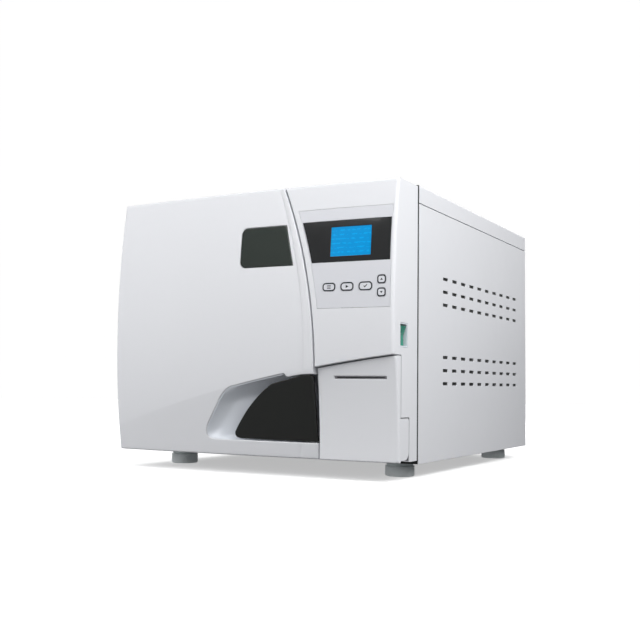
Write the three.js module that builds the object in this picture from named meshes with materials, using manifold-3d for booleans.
// Benchtop autoclave: a folded-sheet housing on four levelling feet, a round pressure chamber inside it,
// and a curved plastic front made of a swinging chamber door, a control fascia and a drop-down service door.
// Millimetres, +Z up, front towards -Y. In the inner group Y = 0 is the front edge of the housing and
// Z = 0 is its underside; the outer group puts the origin under the middle of the whole machine.

import * as THREE from 'three';
import { mergeVertices } from 'three/addons/utils/BufferGeometryUtils.js';
import Module from 'manifold-3d';

const wasm = await Module();
wasm.setup();

// ---------------------------------------------------------------- driving dimensions

const HOUSING = { halfWidth: 240, depth: 525, height: 400, sheet: 1.2, coverEdge: 374 };
const FRONT = { halfWidth: 242, bottom: 6, top: 396, rear: -10, wall: 3 };
const BULGE = { depth: 75, tall: 15, wide: 9, middle: 200, halfHeight: 196 };
const FOOT = { x: 196, frontY: 35.6, rearY: 462.5, radius: 21.5, height: 21 };
const CHAMBER = { x: -76, z: 205, radius: 123.5, wall: 3, mouth: -30, flangeRadius: 140 };
const HINGE = { x: -230, y: -16, pinRadius: 4, knuckleRadius: 7, low: 175, high: 235 };
const HANDLE = { x: 109, below: 9, slope: 0.17, shaftRadius: 4, thickness: 5, swingRoom: 1.4 };
const SERVICE = {
  hingeY: -50, hingeZ: 21, earRadius: 12, earTop: 66, earGap: 0.8, earCorner: 4.5, sideEdge: -66, sideBottom: 9,
};
const GAP_LINE = { x: 122, straightTop: 140, radius: 592, width: 2 };
const SWITCH = { front: -69.4, rear: -43.4, bottom: 163, top: 197, pivotX: 234 };
const FAN = { x: -80, z: 290, radius: 56, y: 496 };
const LID = { x: 165, y: 215, width: 96, length: 76 };
const REAR_REACH = 541;
const CLEARANCE = 0.3;

const FRONT_REACH = BULGE.depth + BULGE.tall + BULGE.wide;
const MIDDLE_Y = (REAR_REACH - FRONT_REACH) / 2;
const AXIS_Y = new THREE.Vector3(0, 1, 0);
const AXIS_Z = new THREE.Vector3(0, 0, 1);

// ---------------------------------------------------------------- solids and outlines

function signedVolume(positions, index) {
  const a = new THREE.Vector3();
  const b = new THREE.Vector3();
  const c = new THREE.Vector3();
  let volume = 0;
  for (let i = 0; i < index.length; i += 3) {
    a.fromBufferAttribute(positions, index[i]);
    b.fromBufferAttribute(positions, index[i + 1]);
    c.fromBufferAttribute(positions, index[i + 2]);
    volume += a.dot(b.cross(c)) / 6;
  }
  return volume;
}

// A closed geometry as a solid that can be joined and cut, its faces turned outward.
function solid(geometry) {
  const bare = geometry.clone();
  bare.deleteAttribute('normal');
  bare.deleteAttribute('uv');
  const merged = mergeVertices(bare, 1e-3);
  const index = [];
  for (let i = 0; i < merged.index.count; i += 3) {
    const [a, b, c] = [0, 1, 2].map((corner) => merged.index.getX(i + corner));
    if (a !== b && b !== c && c !== a) index.push(a, b, c);
  }
  if (signedVolume(merged.attributes.position, index) < 0) index.reverse();
  const vertProperties = new Float32Array(merged.attributes.position.array);
  return new wasm.Manifold(new wasm.Mesh({ numProp: 3, vertProperties, triVerts: new Uint32Array(index) }));
}

function geometryOf(shape) {
  const mesh = shape.getMesh();
  const geometry = new THREE.BufferGeometry();
  geometry.setAttribute('position', new THREE.BufferAttribute(new Float32Array(mesh.vertProperties), 3));
  geometry.setIndex(new THREE.BufferAttribute(new Uint32Array(mesh.triVerts), 1));
  geometry.computeVertexNormals();
  return geometry;
}

function union(...solids) {
  return solids.reduce((whole, piece) => whole.add(piece));
}

function cut(body, ...tools) {
  return tools.reduce((whole, tool) => whole.subtract(tool), body);
}

function box(x0, x1, y0, y1, z0, z1) {
  const geometry = new THREE.BoxGeometry(x1 - x0, y1 - y0, z1 - z0);
  geometry.translate((x0 + x1) / 2, (y0 + y1) / 2, (z0 + z1) / 2);
  return solid(geometry);
}

function outline(points) {
  return new THREE.Shape(points.map(([u, v]) => new THREE.Vector2(u, v)));
}

function roundedBox(u0, v0, u1, v1, radius) {
  const shape = new THREE.Shape();
  shape.moveTo(u0 + radius, v0);
  shape.lineTo(u1 - radius, v0);
  shape.absarc(u1 - radius, v0 + radius, radius, -Math.PI / 2, 0, false);
  shape.lineTo(u1, v1 - radius);
  shape.absarc(u1 - radius, v1 - radius, radius, 0, Math.PI / 2, false);
  shape.lineTo(u0 + radius, v1);
  shape.absarc(u0 + radius, v1 - radius, radius, Math.PI / 2, Math.PI, false);
  shape.lineTo(u0, v0 + radius);
  shape.absarc(u0 + radius, v0 + radius, radius, Math.PI, 1.5 * Math.PI, false);
  return shape;
}

function circle(u, v, radius) {
  const shape = new THREE.Shape();
  shape.absarc(u, v, radius, 0, 2 * Math.PI, false);
  return shape;
}

function extruded(shape, length, segments) {
  return new THREE.ExtrudeGeometry(shape, { depth: length, bevelEnabled: false, curveSegments: segments });
}

// Outlines are drawn as (x, z), (x, y) or (y, z) and pulled along the remaining axis.
function alongY(shape, y0, y1, segments = 3) {
  const geometry = extruded(shape, y1 - y0, segments);
  geometry.rotateX(Math.PI / 2);
  geometry.translate(0, y1, 0);
  return solid(geometry);
}

function alongZ(shape, z0, z1, segments = 3) {
  const geometry = extruded(shape, z1 - z0, segments);
  geometry.translate(0, 0, z0);
  return solid(geometry);
}

function alongX(shape, x0, x1, segments = 3) {
  const geometry = extruded(shape, x1 - x0, segments);
  const turn = new THREE.Matrix4().makeBasis(AXIS_Y, AXIS_Z, new THREE.Vector3(1, 0, 0));
  geometry.applyMatrix4(turn);
  geometry.translate(x0, 0, 0);
  return solid(geometry);
}

// A profile of (radius, height) turned about an upright axis, or about an axis along Y.
function turnedZ(profile, x, y, segments) {
  const geometry = new THREE.LatheGeometry(profile.map(([r, h]) => new THREE.Vector2(r, h)), segments);
  geometry.rotateX(Math.PI / 2);
  geometry.translate(x, y, 0);
  return solid(geometry);
}

function turnedY(profile, x, z, segments) {
  const geometry = new THREE.LatheGeometry(profile.map(([r, h]) => new THREE.Vector2(r, h)), segments);
  geometry.translate(x, 0, z);
  return solid(geometry);
}

function ring(inner, outer, low, high) {
  return [[inner, low], [outer, low], [outer, high], [inner, high], [inner, low]];
}

function disc(radius, low, high) {
  return [[0, low], [radius, low], [radius, high], [0, high]];
}

// Moves every side of a counter-clockwise outline inward by a distance.
function inset(points, distance) {
  return points.map(([u, v], i) => {
    const [pu, pv] = points[(i + points.length - 1) % points.length];
    const [nu, nv] = points[(i + 1) % points.length];
    const before = new THREE.Vector2(pv - v, u - pu).normalize();
    const after = new THREE.Vector2(v - nv, nu - u).normalize();
    const scale = distance / (1 + before.dot(after));
    return [u + (before.x + after.x) * scale, v + (before.y + after.y) * scale];
  });
}

// ---------------------------------------------------------------- the shape of the front

// The sweeping line that starts low on the left, edges the handle recess and ends as the service seam.
function sweepZ(x) {
  const along = x + HOUSING.halfWidth;
  return 43 + 0.335 * along - 0.000222 * along * along;
}

// The curved parting line between the chamber door and the fascia.
function gapX(z) {
  const rise = Math.max(0, z - GAP_LINE.straightTop);
  return GAP_LINE.x - GAP_LINE.radius + Math.sqrt(GAP_LINE.radius ** 2 - rise ** 2);
}

function sideBulge(x) {
  return BULGE.wide * (1 - (x / FRONT.halfWidth) ** 2);
}

function fasciaY(x, z) {
  const rise = (z - BULGE.middle) / BULGE.halfHeight;
  return -(BULGE.depth + BULGE.tall * (1 - rise * rise) + sideBulge(x));
}

// The chamber door follows the fascia's curve and slopes back below the sweeping line.
function doorY(x, z) {
  const line = sweepZ(x);
  return z > line ? fasciaY(x, z) : fasciaY(x, line) + HANDLE.slope * (line - z);
}

function serviceY(x, z) {
  const rise = (z - FRONT.bottom) / 142;
  return -(70.5 + 12 * rise * rise + sideBulge(x));
}

// A block whose front face is y = surface(x, z) + sunk and whose back is flat.
function curvedBlock(surface, sunk, x0, x1, z0, z1, rear, columns, rows) {
  const geometry = new THREE.BoxGeometry(x1 - x0, 2, z1 - z0, columns, 1, rows);
  geometry.translate((x0 + x1) / 2, 0, (z0 + z1) / 2);
  const place = geometry.attributes.position;
  for (let i = 0; i < place.count; i += 1) {
    const front = surface(place.getX(i), place.getZ(i)) + sunk;
    place.setY(i, place.getY(i) < 0 ? front : rear);
  }
  return solid(geometry);
}

// A skin of even depth that follows a front surface inside an outline.
function skin(surface, sunk, depth, shape, x0, x1, z0, z1, columns, rows) {
  const front = curvedBlock(surface, sunk, x0, x1, z0, z1, 0, columns, rows);
  const back = curvedBlock(surface, sunk + depth, x0 - 1, x1 + 1, z0 - 1, z1 + 1, 1, columns, rows);
  return cut(front, back).intersect(alongY(shape, -150, 20));
}

function gapLinePoints(low, high, shift, steps) {
  const points = [];
  for (let i = 0; i <= steps; i += 1) {
    const z = low + (high - low) * (i / steps);
    points.push([gapX(z) + shift, z]);
  }
  return points;
}

function sweepPoints(from, to, shift, steps) {
  const points = [];
  for (let i = 0; i <= steps; i += 1) {
    const x = from + (to - from) * (i / steps);
    points.push([x, sweepZ(x) + shift]);
  }
  return points;
}

const HALF_GAP = GAP_LINE.width / 2;
const DOOR_EDGE = GAP_LINE.x - HALF_GAP;
const FASCIA_EDGE = GAP_LINE.x + HALF_GAP;

function doorOutline() {
  return [
    [-FRONT.halfWidth, FRONT.bottom],
    [DOOR_EDGE, FRONT.bottom],
    ...gapLinePoints(GAP_LINE.straightTop, FRONT.top, -HALF_GAP, 8),
    [-FRONT.halfWidth, FRONT.top],
  ];
}

function fasciaOutline() {
  return [
    [FASCIA_EDGE, FRONT.bottom],
    [FRONT.halfWidth, FRONT.bottom],
    [FRONT.halfWidth, FRONT.top],
    ...gapLinePoints(FRONT.top, GAP_LINE.straightTop, HALF_GAP, 8),
  ];
}

// ---------------------------------------------------------------- handle and its recess

function handleShape() {
  const shape = new THREE.Shape();
  shape.moveTo(118.5, 30.3);
  shape.lineTo(118.5, 121.5);
  shape.lineTo(115.5, 124.3);
  shape.lineTo(101, 124);
  shape.lineTo(78, 117.6);
  shape.quadraticCurveTo(64, 114.5, 52.6, 111.5);
  shape.quadraticCurveTo(14, 88, -16.5, 41);
  shape.quadraticCurveTo(-19, 31.2, -6, 31);
  return shape;
}

function handleOutline() {
  return handleShape().getPoints(4).map((point) => [point.x, point.y]);
}

// The opening in the chamber door for the recess and the handle, counter-clockwise from lower left.
// It runs out past the door's right edge, where the handle's corner swings back.
const RECESS_OPEN_END = 122;

function recessOutline() {
  const corner = new THREE.QuadraticBezierCurve(
    new THREE.Vector2(-14, 108), new THREE.Vector2(-27, 105), new THREE.Vector2(-39, 88));
  const lower = new THREE.CubicBezierCurve(
    new THREE.Vector2(-61, 54), new THREE.Vector2(-71, 37), new THREE.Vector2(-66, 28.6),
    new THREE.Vector2(-50, 28.6));
  const pairs = (curve, steps) => curve.getPoints(steps).map((point) => [point.x, point.y]);
  return [
    ...pairs(lower, 5),
    [RECESS_OPEN_END, 28.8],
    [RECESS_OPEN_END, 125.6],
    [101.4, 124.7],
    [78.5, 121],
    [75, 127.2],
    [30, sweepZ(30)],
    ...pairs(corner, 4),
  ];
}

// The handle's shaft leans back with the face that the handle lies in.
function shaftY(z) {
  const line = sweepZ(HANDLE.x);
  return fasciaY(HANDLE.x, line) + HANDLE.below + HANDLE.slope * (line - z);
}

function leaningRod(radius, z0, z1, segments) {
  const geometry = new THREE.CylinderGeometry(radius, radius, z1 - z0, segments);
  geometry.rotateX(Math.PI / 2);
  const lean = new THREE.Matrix4().makeShear(0, 0, 0, 0, 0, -HANDLE.slope);
  geometry.applyMatrix4(lean);
  geometry.translate(HANDLE.x, shaftY((z0 + z1) / 2), (z0 + z1) / 2);
  return solid(geometry);
}

function doorHandle() {
  const plate = skin(doorY, 0.2, HANDLE.thickness, outline(handleOutline()), -20, 118.5, 29, 126, 8, 4);
  const barrel = leaningRod(7.4, 30.2, 123.5, 16);
  const bore = leaningRod(HANDLE.shaftRadius + CLEARANCE, 20, 140, 14);
  return cut(union(plate, barrel), bore);
}

function lockHook() {
  const shaft = leaningRod(HANDLE.shaftRadius, 18, 138, 12);
  const top = shaftY(134);
  const arm = box(HANDLE.x - 4, HANDLE.x + 4, top, top + 45, 131, 137.5);
  const head = alongZ(circle(HANDLE.x, top, 4.6), 131, 137.5, 7);
  return union(shaft, arm, head);
}

function handleRecess() {
  const rim = inset(recessOutline(), CLEARANCE);
  const hollow = inset(rim, 2);
  const floor = -56;
  const front = curvedBlock(doorY, 0.3, -80, 96, 20, 140, floor, 10, 6);
  const tub = front.intersect(alongY(outline(rim), -120, 0));
  const deep = floor - 2;
  const ramp = alongZ(outline([[-70, -130], [96.1, -130], [96.1, deep], [2, deep], [-66, -84]]), 0, 160);
  const fingers = ramp.intersect(alongY(outline(hollow), -120, 0));
  const openEnd = box(93, 97, -120, deep, 32, 122);
  const strap = box(93.6, 117, deep, floor, 19, 130);
  const lugs = [[19, 26], [127.5, 130]]
    .map(([low, high]) => box(HANDLE.x - 8, HANDLE.x + 8, shaftY(low) - 5, floor, low, high));
  const bore = leaningRod(HANDLE.shaftRadius + CLEARANCE, 10, 145, 12);
  const around = outline(inset(handleOutline(), -HANDLE.swingRoom));
  const handleSpace = skin(doorY, -2, HANDLE.thickness + 2.8, around, -30, 125, 20, 135, 8, 5);
  return cut(union(cut(tub, fingers, openEnd, handleSpace), strap, ...lugs), bore);
}

// ---------------------------------------------------------------- chamber door

const ARM = { front: -62, rear: -50 };
const PLATE = { front: -44, rear: -34, radius: 139 };

function doorWindowOutline() {
  const [left, bottom, top, radius] = [-3, 280, 339, 9];
  const upper = new THREE.EllipseCurve(left + radius, top - radius, radius, radius, Math.PI / 2, Math.PI);
  const lower = new THREE.EllipseCurve(left + radius, bottom + radius, radius, radius, Math.PI,
    1.5 * Math.PI);
  const pairs = (curve) => curve.getPoints(4).map((point) => [point.x, point.y]);
  return [[86, bottom], [72, top], ...pairs(upper), ...pairs(lower)];
}

function doorCover() {
  const shell = doorOutline();
  const { halfWidth, bottom, top, rear } = FRONT;
  const outer = curvedBlock(doorY, 0, -halfWidth, DOOR_EDGE, bottom, top, rear, 12, 16)
    .intersect(alongY(outline(shell), -150, 0));
  const hollow = curvedBlock(doorY, FRONT.wall, -250, 130, 0, 400, 10, 12, 16)
    .intersect(alongY(outline(inset(shell, FRONT.wall)), -150, 20));
  const window = alongY(outline(inset(doorWindowOutline(), -0.4)), -150, -60);
  const recess = alongY(outline(recessOutline()), -150, -60);
  const hingeNotch = box(-250, -236, -24, 0, HINGE.low - 20, HINGE.high + 20);
  const posts = [[-196, 205], [44, 205]].map(([x, z]) => (
    box(x - 6, x + 6, doorY(x, z) + 1.5, ARM.front - CLEARANCE, z - 6, z + 6)));
  return cut(union(cut(outer, hollow), ...posts), window, recess, hingeNotch);
}

function doorInnerPanel() {
  const edge = inset(doorOutline(), FRONT.wall + CLEARANCE);
  const panel = alongY(outline(edge), -24, -21.5);
  const mouth = alongY(circle(CHAMBER.x, CHAMBER.z, CHAMBER.flangeRadius + 5), -30, -15, 18);
  const hinge = box(-245, -221, -30, -15, HINGE.low - 20, HINGE.high + 20);
  const keeper = box(90, 115, -30, -15, 116, 150);
  return cut(panel, mouth, hinge, keeper);
}

function doorArm() {
  const web = box(HINGE.x - 5, HINGE.x + 5, ARM.front, HINGE.y, HINGE.low, HINGE.high);
  const bar = box(HINGE.x - 5, 60, ARM.front, ARM.rear, HINGE.low, HINGE.high);
  const knuckle = alongZ(circle(HINGE.x, HINGE.y, HINGE.knuckleRadius), HINGE.low, HINGE.high, 8);
  const boss = turnedY(disc(20, ARM.rear - 1, PLATE.front - CLEARANCE), CHAMBER.x, CHAMBER.z, 24);
  const bore = alongZ(circle(HINGE.x, HINGE.y, HINGE.pinRadius + CLEARANCE), 100, 300, 6);
  return cut(union(web, bar, knuckle, boss), bore);
}

function hingeBracket() {
  const pieces = [[155, HINGE.low - CLEARANCE], [HINGE.high + CLEARANCE, 255]].map(([low, high]) => union(
    alongZ(circle(HINGE.x, HINGE.y, HINGE.knuckleRadius), low, high, 8),
    box(HINGE.x - 3, HINGE.x + 6.5, HINGE.y, 0, low, high),
  ));
  const plate = box(HINGE.x - 2, HINGE.x + 14, -2.5, 1.7, 155, 255);
  const pin = alongZ(circle(HINGE.x, HINGE.y, HINGE.pinRadius), 150, 260, 6);
  return union(...pieces, plate, pin);
}

function doorPlate() {
  const { front, rear, radius } = PLATE;
  const profile = [[0, front], [radius - 3, front], [radius, front + 3], [radius, rear], [112, rear],
    [106, rear + 5], [0, rear + 9]];
  return turnedY(profile, CHAMBER.x, CHAMBER.z, 40);
}

function doorGasket() {
  const rear = CHAMBER.mouth - CLEARANCE;
  const front = PLATE.rear + CLEARANCE;
  const profile = [
    [127.5, front], [138, front], [138, rear - 1.4], [136, rear], [129.5, rear], [127.5, front],
  ];
  return turnedY(profile, CHAMBER.x, CHAMBER.z, 40);
}

function lockKeeper() {
  const cheeks = [[124, 127.8], [140.7, 144.5]].map(([low, high]) => box(98, 112, -53, 0, low, high));
  return union(...cheeks, box(98, 112, -3, 1.7, 116, 152));
}

// ---------------------------------------------------------------- control fascia

const DISPLAY = { right: 236.4, bottom: 281.5, top: 340.5, inset: 11.2 };
const LCD = { left: 145, right: 206, bottom: 289.5, top: 331 };
const OVERLAY = { right: 237.6, bottom: 216.5, top: 358.5, inset: 10 };
const KEYS = [
  ['menu_key', 145, 246.4, 19.5, 11.5],
  ['start_key', 172.5, 246.3, 19.5, 11.8],
  ['confirm_key', 200, 246.2, 20, 12],
  ['up_key', 223.5, 254.8, 12.6, 12],
  ['down_key', 223.5, 237, 12.6, 12],
];

function keyShape([, x, z, width, height], grow) {
  const halfWidth = width / 2 + grow;
  const halfHeight = height / 2 + grow;
  const radius = width > height + 4 ? halfHeight * 0.8 : halfHeight * 0.6;
  return roundedBox(x - halfWidth, z - halfHeight, x + halfWidth, z + halfHeight, radius);
}

function overlayOutline() {
  return [
    [OVERLAY.right, OVERLAY.bottom],
    [OVERLAY.right, OVERLAY.top],
    ...gapLinePoints(OVERLAY.top, OVERLAY.bottom, OVERLAY.inset, 4),
  ];
}

function displayOutline() {
  return [
    [DISPLAY.right, DISPLAY.bottom],
    [DISPLAY.right, DISPLAY.top],
    ...gapLinePoints(DISPLAY.top, DISPLAY.bottom, DISPLAY.inset, 2),
  ];
}

function keypadOverlay() {
  const edge = outline(inset(overlayOutline(), CLEARANCE));
  const sheet = skin(fasciaY, 0, 1, edge, 90, 240, 214, 362, 4, 4);
  const display = alongY(outline(inset(displayOutline(), -CLEARANCE)), -150, 0);
  const keys = KEYS.map((key) => alongY(keyShape(key, CLEARANCE), -150, 0, 2));
  return cut(sheet, display, ...keys);
}

function displayWindow() {
  const glass = skin(fasciaY, -0.2, 2.5, outline(displayOutline()), 98, 240, 280, 342, 4, 2);
  return cut(glass, alongY(outline(lcdOutline(CLEARANCE)), -150, 0));
}

function lcdOutline(grow) {
  return [[LCD.left - grow, LCD.bottom - grow], [LCD.right + grow, LCD.bottom - grow],
    [LCD.right + grow, LCD.top + grow], [LCD.left - grow, LCD.top + grow]];
}

function lcdModule() {
  const glass = curvedBlock(fasciaY, 0.4, LCD.left, LCD.right, LCD.bottom, LCD.top, -79, 3, 3);
  const board = box(LCD.left - 8, LCD.right + 8, -81, -78, LCD.bottom - 4, LCD.top + 4);
  return union(glass, board);
}

function displayBoard() {
  const board = box(124, 232, -75, -73.4, 228, 350);
  const chips = [[130, 300], [160, 340], [205, 330], [150, 262]]
    .map(([x, z]) => box(x, x + 14, -74, -71.4, z - 20, z - 8));
  return union(board, ...chips);
}

function keyCap(key) {
  const [, x, z, width, height] = key;
  const plunger = curvedBlock(fasciaY, -0.7, x - width, x + width, z - height, z + height, -80, 1, 1);
  return plunger.intersect(alongY(keyShape(key, 0), -150, -78, 2));
}

// What the fascia's side wall leaves out for the service door and its hinge ear, drawn as (y, z).
function sideOpening() {
  const rear = SERVICE.hingeY + SERVICE.earRadius + SERVICE.earGap;
  const step = SERVICE.sideEdge + SERVICE.earGap;
  const top = SERVICE.earTop + SERVICE.earGap;
  return [[rear, 0], [rear, top], [step, top], [step, 170], [-130, 170], [-130, 0]];
}

function controlFascia() {
  const shell = fasciaOutline();
  const innerShell = inset(shell, FRONT.wall);
  const outer = curvedBlock(fasciaY, 0, 40, FRONT.halfWidth, FRONT.bottom, FRONT.top, FRONT.rear, 6, 16)
    .intersect(alongY(outline(shell), -150, 0));
  const above = [[40, 420], ...sweepPoints(40, 250, FRONT.wall, 6), [250, 420]];
  const below = [[40, 0], [250, 0], ...sweepPoints(250, 40, 0, 6)];
  const electronics = curvedBlock(fasciaY, FRONT.wall, 40, 250, 0, 400, 10, 6, 16)
    .intersect(alongY(outline(innerShell), -150, 20))
    .intersect(alongY(outline(above), -150, 20));
  const bay = alongY(outline(innerShell), -150, 20).intersect(alongY(outline(below), -150, 20));
  const flapSpace = alongY(outline(below), -150, SERVICE.sideEdge + 1);
  const flapSide = alongX(outline(sideOpening()), 230, 250).intersect(alongY(outline(below), -150, 20));
  const sweepRear = SERVICE.hingeY + SERVICE.earRadius + SERVICE.earGap;
  const sweep = box(FASCIA_EDGE - 1, FRONT.halfWidth + 1, -80, sweepRear, 0, SERVICE.hingeZ);
  const shellCut = cut(outer, electronics, bay, flapSpace, flapSide, sweep);
  const panelRecess = skin(fasciaY, -1, 2.4, outline(overlayOutline()), 90, 240, 214, 362, 4, 4);
  const display = alongY(outline(inset(displayOutline(), 4)), -150, -60);
  const lcdRoom = box(LCD.left - 10, LCD.right + 10, -150, -60, LCD.bottom - 6, LCD.top + 6);
  const windowSeat = skin(fasciaY, -1, 4, outline(inset(displayOutline(), -0.2)), 90, 240, 278, 344, 4, 2);
  const keys = KEYS.map((key) => alongY(keyShape(key, CLEARANCE), -150, -60, 2));
  const rocker = box(230, 250, SWITCH.front, SWITCH.rear, SWITCH.bottom, SWITCH.top);
  const posts = [[229, 208], [229, 370], [127, 172]].map(([x, z]) => union(
    box(x, x + 8, -60, 1.7, z - 5, z + 5),
    box(x - 2, x + 11, -60, -14, z - 5, z + 5),
  ));
  return cut(union(shellCut, ...posts), panelRecess, display, lcdRoom, windowSeat, ...keys, rocker);
}

function powerSwitchBody() {
  const { front, rear, bottom, top } = SWITCH;
  const can = box(214, 241.6, front + CLEARANCE, rear - CLEARANCE, bottom + CLEARANCE, top - CLEARANCE);
  const room = box(221, 245, front + 2, rear - 2, bottom + 2, top - 2);
  return cut(can, room);
}

function powerRocker() {
  const { front, rear, bottom, top, pivotX } = SWITCH;
  const middle = (bottom + top) / 2;
  const half = (top - bottom) / 2 - 3.4;
  const side = [
    [pivotX - 5, middle - 8], [pivotX - 5, middle + 8],
    [pivotX + 2, middle + half], [pivotX + 5, middle + half],
    [pivotX + 2.6, middle],
    [pivotX + 5, middle - half], [pivotX + 2, middle - half],
  ];
  const shape = outline(side);
  const geometry = extruded(shape, rear - front - 6, 2);
  geometry.rotateX(Math.PI / 2);
  geometry.translate(-pivotX, rear - 3, -middle);
  geometry.rotateY(THREE.MathUtils.degToRad(8));
  geometry.translate(pivotX, 0, middle);
  return solid(geometry);
}

// ---------------------------------------------------------------- service door and the bay behind it

const SLOT = { left: 149, right: 227, z: 121.2, height: 3.6 };
const PRINTER = { left: 138, right: 232, front: -70.4, rear: -42, bottom: 78, top: 131 };

function serviceOutline() {
  const seam = GAP_LINE.width * 0.75;
  return [
    [FASCIA_EDGE, FRONT.bottom],
    [FRONT.halfWidth, FRONT.bottom],
    ...sweepPoints(FRONT.halfWidth, FASCIA_EDGE, -seam, 5),
  ];
}

// The service door's side wall, drawn as (y, z), ends at the rear in a rounded hinge ear.
function sidePlate() {
  const { hingeY, hingeZ, earRadius, earTop, earCorner, sideEdge, sideBottom } = SERVICE;
  const ear = new THREE.EllipseCurve(hingeY, hingeZ, earRadius, earRadius, -Math.PI / 2, 0);
  const cornerY = hingeY + earRadius - earCorner;
  const corner = new THREE.EllipseCurve(cornerY, earTop - earCorner, earCorner, earCorner, 0, Math.PI / 2);
  const pairs = (curve, steps) => curve.getPoints(steps).map((point) => [point.x, point.y]);
  return [
    [-130, sideBottom],
    ...pairs(ear, 4),
    ...pairs(corner, 3),
    [sideEdge, earTop],
    [sideEdge, 170],
    [-130, 170],
  ];
}

function serviceDoor() {
  const shell = serviceOutline();
  const rear = SERVICE.hingeY + SERVICE.earRadius;
  const outer = curvedBlock(serviceY, 0, FASCIA_EDGE, FRONT.halfWidth, FRONT.bottom, 160, rear, 5, 8)
    .intersect(alongY(outline(shell), -150, 0));
  const hollow = curvedBlock(serviceY, FRONT.wall, 100, 250, 0, 170, 10, 5, 8)
    .intersect(alongY(outline(inset(shell, FRONT.wall)), -150, 20));
  const rightSide = alongX(outline(sidePlate()), 236, 250);
  const frontEdge = box(100, 236, -130, SERVICE.sideEdge, SERVICE.sideBottom + 1, 170);
  const skinOnly = curvedBlock(serviceY, -1, 100, 250, 0, 170, -67.2, 5, 8);
  const keep = union(rightSide, frontEdge, skinOnly);
  const slot = box(SLOT.left, SLOT.right, -120, -60, SLOT.z - SLOT.height / 2, SLOT.z + SLOT.height / 2);
  const pivotBoss = alongX(circle(SERVICE.hingeY, SERVICE.hingeZ, 6), 236, 240, 5);
  return cut(union(cut(outer, hollow).intersect(keep), pivotBoss), slot);
}

function printer() {
  const { left, right, front, rear, bottom, top } = PRINTER;
  const body = box(left, right, front, rear, bottom, top);
  const mouth = box(SLOT.left, SLOT.right, front - 1, rear - 6, SLOT.z - 2, SLOT.z + 2);
  const rollWell = alongX(circle(-57, 99, 15), SLOT.left - 2, SLOT.right + 2, 5);
  const paperWay = box(SLOT.left - 2, SLOT.right + 2, -62, -52, 105, SLOT.z);
  return cut(body, mouth, rollWell, paperWay);
}

function paperRoll() {
  const inner = circle(-57, 99, 12.5);
  inner.holes.push(circle(-57, 99, 5));
  return alongX(inner, SLOT.left, SLOT.right, 6);
}

const BAY_FACE = -32;
const DRAINS = [['clean_drain_knob', 143, 44], ['waste_drain_knob', 175, 44]];
const FILTER = { x: 214, z: 52 };

function serviceBay() {
  const floor = [[FASCIA_EDGE + 3.4, 10], [238.6, 10], ...sweepPoints(238.6, FASCIA_EDGE + 3.4, -1, 4)];
  const pan = alongY(outline(floor), BAY_FACE, -0.5);
  const back = alongY(outline(inset(floor, 2)), BAY_FACE + 2, 5);
  const knobs = DRAINS.map(([, x, z]) => alongY(circle(x, z, 5), -60, 0, 6));
  const filter = alongY(circle(FILTER.x, FILTER.z, 7), -60, 0, 6);
  return cut(pan, back, ...knobs, filter);
}

function drainKnob([, x, z]) {
  const stem = turnedY(disc(4, BAY_FACE - 4, BAY_FACE + 14), x, z, 12);
  const grip = turnedY(disc(13, BAY_FACE - 16, BAY_FACE - CLEARANCE - 1), x, z, 20);
  const wing = box(x - 15, x + 15, BAY_FACE - 20, BAY_FACE - 12, z - 3, z + 3);
  return union(stem, grip, wing);
}

function bacteriaFilter() {
  const profile = [[0, -8], [6, -8], [6, BAY_FACE - 1], [20, BAY_FACE - 5], [20, BAY_FACE - 17],
    [8, BAY_FACE - 21], [6, BAY_FACE - 25], [0, BAY_FACE - 25]];
  return turnedY(profile.reverse(), FILTER.x, FILTER.z, 24);
}

// ---------------------------------------------------------------- housing

const VENT = { width: 20, height: 4.4, firstY: 104.5, pitchY: 38.9, columns: 10, pitchZ: 19.9 };
const VENT_ROWS = [114.5, 234];

function ventSlots(x0, x1) {
  const slots = [];
  for (const lowest of VENT_ROWS) {
    for (let row = 0; row < 3; row += 1) {
      for (let column = 0; column < VENT.columns; column += 1) {
        const y = VENT.firstY + column * VENT.pitchY - VENT.width / 2;
        const z = lowest + row * VENT.pitchZ - VENT.height / 2;
        slots.push(box(x0, x1, y, y + VENT.width, z, z + VENT.height));
      }
    }
  }
  return slots;
}

function sidePanel(side) {
  const { halfWidth, depth, sheet, coverEdge } = HOUSING;
  const faces = [side * halfWidth, side * (halfWidth - sheet)];
  const [x0, x1] = [Math.min(...faces), Math.max(...faces)];
  return cut(box(x0, x1, 0, depth, 0, coverEdge - 0.2), ...ventSlots(x0 - 1, x1 + 1));
}

function topCover() {
  const { halfWidth, depth, height, sheet, coverEdge } = HOUSING;
  const outer = roundedBox(-halfWidth, coverEdge - 20, halfWidth, height, 2.5);
  const inner = box(-halfWidth + sheet, halfWidth - sheet, -1, depth - sheet, 300, height - sheet);
  const below = box(-halfWidth - 1, halfWidth + 1, -1, depth + 1, 300, coverEdge);
  const fill = box(LID.x - LID.width / 2, LID.x + LID.width / 2, LID.y - LID.length / 2,
    LID.y + LID.length / 2, height - 10, height + 10);
  return cut(alongY(outer, 0, depth, 3), inner, below, fill);
}

function basePlate() {
  const { halfWidth, depth } = HOUSING;
  const edge = halfWidth - 1.6;
  const floor = box(-edge, edge, 1, depth - 2, 0, 2);
  const rails = [[-edge, -edge + 1.5], [edge - 1.5, edge]]
    .map(([x0, x1]) => box(x0, x1, 1, depth - 2, 0, 14));
  const holes = footPlaces().map(([, x, y]) => alongZ(circle(x, y, 6), -5, 20, 6));
  return cut(union(floor, ...rails), ...holes);
}

// The outline, drawn as (x, z), of a plate that fills the housing inside its side panels and cover.
function innerPlate() {
  const edge = HOUSING.halfWidth - 3.4;
  const [low, high] = [2.4, HOUSING.height - 1.6];
  return outline([[-edge, low], [edge, low], [edge, high], [-edge, high]]);
}

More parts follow.
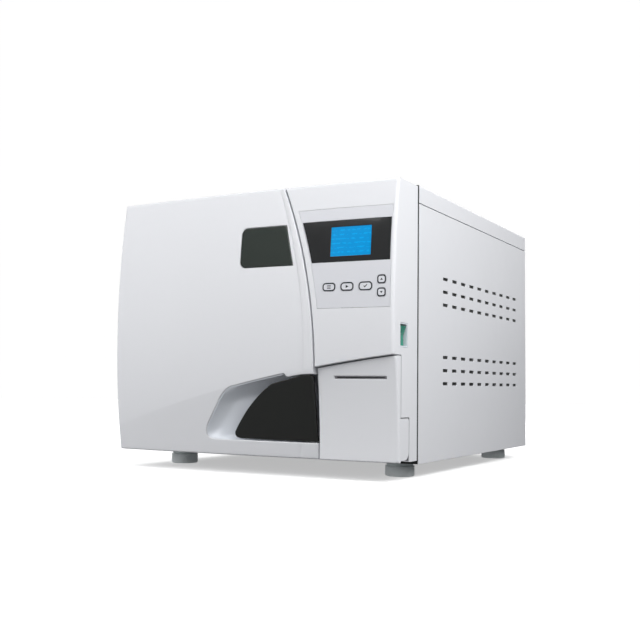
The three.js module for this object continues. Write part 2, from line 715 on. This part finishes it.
function frontFrame() {
  const plate = innerPlate();
  plate.holes.push(circle(CHAMBER.x, CHAMBER.z, 129));
  plate.holes.push(outline([[134, 178], [226, 178], [226, 384], [134, 384]]));
  plate.holes.push(outline([[134, 16], [228, 16], [228, 134], [134, 134]]));
  return alongY(plate, 2, 4, 16);
}

const REAR_FACE = HOUSING.depth - 1.6;
const INLET = { x: 176, z: 60, width: 48, height: 30 };
const VALVE = { x: 60, z: 330 };

function rearPanel() {
  const plate = innerPlate();
  plate.holes.push(circle(FAN.x, FAN.z, FAN.radius));
  plate.holes.push(circle(VALVE.x, VALVE.z, 9));
  plate.holes.push(outline([
    [INLET.x - INLET.width / 2, INLET.z - INLET.height / 2],
    [INLET.x + INLET.width / 2, INLET.z - INLET.height / 2],
    [INLET.x + INLET.width / 2, INLET.z + INLET.height / 2],
    [INLET.x - INLET.width / 2, INLET.z + INLET.height / 2],
  ]));
  return alongY(plate, REAR_FACE - 1.5, REAR_FACE, 12);
}

function footPlaces() {
  return [
    ['front_left_foot', -FOOT.x, FOOT.frontY],
    ['front_right_foot', FOOT.x, FOOT.frontY],
    ['rear_left_foot', -FOOT.x, FOOT.rearY],
    ['rear_right_foot', FOOT.x, FOOT.rearY],
  ];
}

function foot([, x, y]) {
  const { radius, height } = FOOT;
  const profile = [[0, -height], [radius - 1.5, -height], [radius, -height + 1.5], [radius, -6.6],
    [radius - 1.5, -5.6], [radius - 1.5, -1], [5, -CLEARANCE], [5, 14], [0, 14]];
  return turnedZ(profile, x, y, 24);
}

// ---------------------------------------------------------------- chamber and its load

function chamberVessel() {
  const { radius, wall, mouth } = CHAMBER;
  const profile = [[0, 347], [70, 342], [110, 328], [radius, 310], [radius, mouth], [radius + wall, mouth],
    [radius + wall, 312], [113, 331], [70, 345], [0, 350]];
  return turnedY(profile, CHAMBER.x, CHAMBER.z, 40);
}

function chamberFlange() {
  const inner = CHAMBER.radius + CHAMBER.wall + CLEARANCE;
  return turnedY(ring(inner, CHAMBER.flangeRadius, CHAMBER.mouth, 1.7), CHAMBER.x, CHAMBER.z, 40);
}

function sleeve(inner, outer, front, rear) {
  return turnedY(ring(inner, outer, front, rear), CHAMBER.x, CHAMBER.z, 40);
}

const RACK = { halfWidth: 97, sheet: 1.2, low: -76, high: 62, front: -10, rear: 285, ledge: 9 };
const TRAY_LEVELS = [-62, -19, 24];
const TRAY = { halfWidth: 94, front: -8, rear: 280, height: 16, sheet: 1.2 };

function trayRack() {
  const { x, z } = CHAMBER;
  const { halfWidth, sheet, low, high, front, rear, ledge } = RACK;
  const sides = [-1, 1].map((side) => {
    const outer = side * halfWidth;
    const inner = side * (halfWidth - sheet);
    const wall = box(x + Math.min(outer, inner), x + Math.max(outer, inner), front, rear, z + low, z + high);
    const tip = side * (halfWidth - ledge);
    const [x0, x1] = [x + Math.min(outer, tip), x + Math.max(outer, tip)];
    const ledges = TRAY_LEVELS.map((level) => box(x0, x1, front, rear, z + level - sheet, z + level));
    return union(wall, ...ledges);
  });
  const bars = [[front, front + 12], [rear - 12, rear]]
    .map(([y0, y1]) => box(x - halfWidth, x + halfWidth, y0, y1, z + low + 2, z + low + 3.5));
  return union(...sides, ...bars);
}

function tray(level) {
  const { x, z } = CHAMBER;
  const { halfWidth, front, rear, height, sheet } = TRAY;
  const bottom = z + level + CLEARANCE;
  const pan = box(x - halfWidth, x + halfWidth, front, rear, bottom, bottom + height);
  const hollow = box(x - halfWidth + sheet, x + halfWidth - sheet, front + sheet, rear - sheet,
    bottom + sheet, bottom + height + 1);
  return cut(pan, hollow);
}

// ---------------------------------------------------------------- machinery behind the front

function waterTank() {
  const body = box(94, 232, 132, 400, 214, 372);
  const clean = box(97, 229, 135, 262, 217, 369);
  const waste = box(97, 229, 265, 397, 217, 369);
  const neck = box(LID.x - 38, LID.x + 38, LID.y - 30, LID.y + 30, 365, 394);
  const mouth = box(LID.x - 35, LID.x + 35, LID.y - 27, LID.y + 27, 360, 400);
  const wasteVent = box(180, 200, 330, 350, 360, 400);
  return cut(union(body, neck), clean, waste, mouth, wasteVent);
}

function fillLid() {
  const { x, y, width, length } = LID;
  const [x0, x1] = [x - width / 2 + 0.6, x + width / 2 - 0.6];
  const [y0, y1] = [y - length / 2 + 0.6, y + length / 2 - 0.6];
  const fingerNotch = box(x - 14, x + 14, y0 - 1, y0 + 8, HOUSING.height - 1.4, HOUSING.height + 1);
  return cut(box(x0, x1, y0, y1, HOUSING.height - 3, HOUSING.height), fingerNotch);
}

function steamGenerator() {
  const shell = turnedZ([[0, 12], [34, 12], [40, 18], [40, 150], [34, 158], [12, 162], [12, 172], [0, 172]],
    140, 82, 24);
  const legs = [110, 164].map((x) => box(x, x + 6, 72, 92, 2.3, 16));
  return union(shell, ...legs);
}

function vacuumPump() {
  const motor = turnedY(disc(34, 200, 290), 160, 64, 24);
  const heads = [[176, 200], [290, 314]].map(([y0, y1]) => box(128, 192, y0, y1, 26, 116));
  const base = box(120, 200, 190, 300, 2.3, 34);
  return union(motor, ...heads, base);
}

function waterPump() {
  const body = turnedY(disc(17, 330, 384), 150, 32, 16);
  const head = box(132, 168, 318, 331, 12, 52);
  const bracket = box(136, 164, 335, 375, 2.3, 18);
  return union(body, head, bracket);
}

function condenser() {
  const tanks = [[-146, -138], [-22, -14]].map(([x0, x1]) => box(x0, x1, 440, 478, 230, 350));
  const fins = [];
  for (let z = 236; z <= 344; z += 12) fins.push(box(-139, -21, 442, 476, z, z + 3));
  return union(...tanks, ...fins);
}

function fanFrame() {
  const { x, z, radius, y } = FAN;
  const frame = roundedBox(x - 60, z - 60, x + 60, z + 60, 5);
  frame.holes.push(circle(x, z, radius));
  const shell = alongY(frame, y, y + 25.5, 8);
  const spokes = [0, 1, 2].map((turn) => {
    const spoke = new THREE.BoxGeometry(2 * radius + 4, 3, 5);
    spoke.rotateY(turn * Math.PI / 3);
    spoke.translate(x, y + 2, z);
    return solid(spoke);
  });
  const motorPlate = turnedY(disc(18, y, y + 5), x, z, 16);
  return union(shell, ...spokes, motorPlate);
}

function fanRotor() {
  const { x, z, radius, y } = FAN;
  const hub = turnedY(disc(19, y + 6, y + 24), x, z, 18);
  const blades = [];
  for (let i = 0; i < 7; i += 1) {
    const blade = new THREE.BoxGeometry(radius - 21, 2, 22);
    blade.rotateX(THREE.MathUtils.degToRad(32));
    blade.translate(17 + (radius - 21) / 2, 0, 0);
    blade.rotateY((i * 2 * Math.PI) / 7);
    blade.translate(x, y + 15, z);
    blades.push(solid(blade));
  }
  return union(hub, ...blades);
}

function mainBoard() {
  const board = box(226, 227.6, 30, 126, 190, 350);
  const parts = [[40, 210, 18], [70, 210, 10], [40, 260, 12], [85, 300, 22], [45, 320, 8]]
    .map(([y, z, tall]) => box(227 - tall, 227, y, y + 24, z, z + 20));
  return union(board, ...parts);
}

function powerTransformer() {
  const core = box(-190, -96, 400, 478, 2.3, 88);
  const coil = box(-180, -106, 388, 490, 22, 70);
  return union(core, coil);
}

function powerInlet() {
  const { x, z, width, height } = INLET;
  const flange = box(x - width / 2 - 10, x + width / 2 + 10, REAR_FACE + CLEARANCE, REAR_FACE + 4,
    z - height / 2 - 4, z + height / 2 + 4);
  const can = box(x - width / 2 + 0.5, x + width / 2 - 0.5, REAR_FACE - 26, REAR_FACE + 1,
    z - height / 2 + 0.5, z + height / 2 - 0.5);
  const socket = box(x - width / 2 + 4, x + width / 2 - 4, REAR_FACE - 18, REAR_FACE + 9,
    z - height / 2 + 4, z + height / 2 - 4);
  const pins = [x - 12, x, x + 12]
    .map((middle) => box(middle - 1.5, middle + 1.5, REAR_FACE - 20, REAR_FACE - 1, z - 4, z + 4));
  return union(cut(union(flange, can), socket), ...pins);
}

function safetyValve() {
  const { x, z } = VALVE;
  const collar = REAR_FACE + CLEARANCE;
  const profile = [
    [0, 470], [12, 470], [12, 500], [8.5, 504], [8.5, collar],
    [13, collar], [13, REAR_FACE + 8], [8, REAR_REACH - 6], [8, REAR_REACH], [0, REAR_REACH],
  ];
  return turnedY(profile, x, z, 16);
}

// ---------------------------------------------------------------- assembly

const FINISH = {
  casing: [0xe9ebef, 0.42, 0],
  powderCoat: [0xe4e6ea, 0.5, 0.1],
  zinc: [0x9a9da0, 0.45, 0.8],
  stainless: [0xb9bcbe, 0.3, 0.9],
  black: [0x222423, 0.3, 0],
  display: [0x26282a, 0.15, 0],
  lcd: [0x0a93dc, 0.3, 0],
  keyLight: [0xdfe1e6, 0.5, 0],
  recess: [0x9aa1a6, 0.4, 0],
  smoked: [0x38403b, 0.12, 0],
  green: [0x2f7f6a, 0.35, 0],
  rubber: [0x747b7b, 0.7, 0],
  silicone: [0xc8ccd0, 0.6, 0],
  board: [0x1f5a3a, 0.5, 0],
  felt: [0xcfc9b8, 0.95, 0],
  heater: [0xa8461f, 0.7, 0],
  tank: [0xdfe6ea, 0.5, 0],
  paper: [0xf6f5f0, 0.9, 0],
  darkMetal: [0x3f4347, 0.5, 0.6],
  brass: [0xb58f3c, 0.35, 0.9],
};

const inner = new THREE.Group();
inner.position.set(0, -MIDDLE_Y, FOOT.height);

function part(name, finish, shape) {
  const [color, roughness, metalness] = FINISH[finish];
  const material = new THREE.MeshStandardMaterial({ color, roughness, metalness });
  const mesh = new THREE.Mesh(geometryOf(shape), material);
  mesh.name = name;
  inner.add(mesh);
}

part('base_plate', 'zinc', basePlate());
part('left_side_panel', 'powderCoat', sidePanel(-1));
part('right_side_panel', 'powderCoat', sidePanel(1));
part('top_cover', 'powderCoat', topCover());
part('rear_panel', 'powderCoat', rearPanel());
part('front_frame', 'darkMetal', frontFrame());
for (const place of footPlaces()) part(place[0], 'rubber', foot(place));

part('chamber_vessel', 'stainless', chamberVessel());
part('chamber_flange', 'stainless', chamberFlange());
part('heating_band', 'heater', sleeve(127, 130.8, 40, 280));
part('chamber_insulation', 'felt', sleeve(131.2, 150, 6, 290));
part('tray_rack', 'stainless', trayRack());
part('lower_tray', 'stainless', tray(TRAY_LEVELS[0]));
part('middle_tray', 'stainless', tray(TRAY_LEVELS[1]));
part('upper_tray', 'stainless', tray(TRAY_LEVELS[2]));

part('hinge_bracket', 'zinc', hingeBracket());
part('door_arm', 'zinc', doorArm());
part('door_plate', 'stainless', doorPlate());
part('door_gasket', 'silicone', doorGasket());
part('door_cover', 'casing', doorCover());
part('door_inner_panel', 'casing', doorInnerPanel());
part('door_window', 'smoked', skin(doorY, 0.1, 3, outline(doorWindowOutline()), -6, 90, 278, 342, 4, 3));
part('handle_recess', 'recess', handleRecess());
part('door_handle', 'black', doorHandle());
part('lock_hook', 'zinc', lockHook());
part('lock_keeper', 'zinc', lockKeeper());

part('control_fascia', 'casing', controlFascia());
part('keypad_overlay', 'keyLight', keypadOverlay());
part('display_window', 'display', displayWindow());
part('lcd_module', 'lcd', lcdModule());
part('display_board', 'board', displayBoard());
for (const key of KEYS) part(key[0], 'keyLight', keyCap(key));
part('power_switch_body', 'recess', powerSwitchBody());
part('power_rocker', 'green', powerRocker());

part('service_door', 'casing', serviceDoor());
part('printer', 'darkMetal', printer());
part('paper_roll', 'paper', paperRoll());
part('service_bay', 'casing', serviceBay());
for (const drain of DRAINS) part(drain[0], 'black', drainKnob(drain));
part('bacteria_filter', 'tank', bacteriaFilter());

part('water_tank', 'tank', waterTank());
part('fill_lid', 'powderCoat', fillLid());
part('steam_generator', 'stainless', steamGenerator());
part('vacuum_pump', 'darkMetal', vacuumPump());
part('water_pump', 'brass', waterPump());
part('condenser', 'zinc', condenser());
part('fan_frame', 'black', fanFrame());
part('fan_rotor', 'black', fanRotor());
part('main_board', 'board', mainBoard());
part('power_transformer', 'darkMetal', powerTransformer());
part('power_inlet', 'black', powerInlet());
part('safety_valve', 'brass', safetyValve());

const autoclave = new THREE.Group();
autoclave.add(inner);

export default autoclave;
